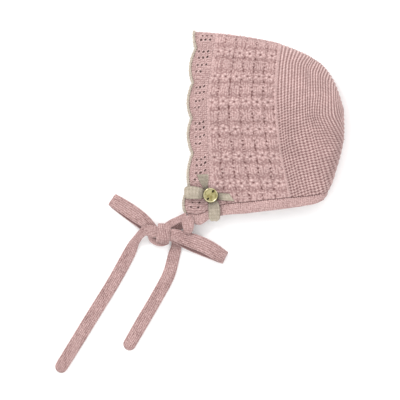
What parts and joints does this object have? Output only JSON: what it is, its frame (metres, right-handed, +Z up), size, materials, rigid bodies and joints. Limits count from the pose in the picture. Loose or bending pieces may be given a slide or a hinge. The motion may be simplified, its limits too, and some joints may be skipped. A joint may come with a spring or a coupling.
{
  "type": "baby bonnet",
  "caption": "Knitted baby bonnet with a scalloped lace edge, star-stitch sides, garter crown, strap ties in a bow and a ribbon bow with a medallion.",
  "frame": {"origin": "middle of the bonnet's box, on the surface that it lies on", "axes": "+Z up from the surface, +Y along the bonnet towards its top fold, +X from the face opening to the back of the crown"},
  "size_m": [0.2602, 0.3058, 0.0305],
  "materials": {
    "pink_wool": "soft heathered dusty-pink knit",
    "beige_yarn": "fine sand-beige crochet edging",
    "beige_ribbon": "matt beige ribbon with a fine nap",
    "brass": "soft aged brass"
  },
  "bodies": {
    "root": {"lace_border": "pink_wool", "scallop_edging": "beige_yarn", "star_panel": "pink_wool", "crown": "pink_wool", "neckband": "pink_wool", "tie_near": "pink_wool", "tie_far": "pink_wool", "ribbon_loop_left": "beige_ribbon", "ribbon_loop_down": "beige_ribbon", "ribbon_tail_up": "beige_ribbon", "ribbon_tail_right": "beige_ribbon", "medallion": "brass"}
  },
  "joints": []
}
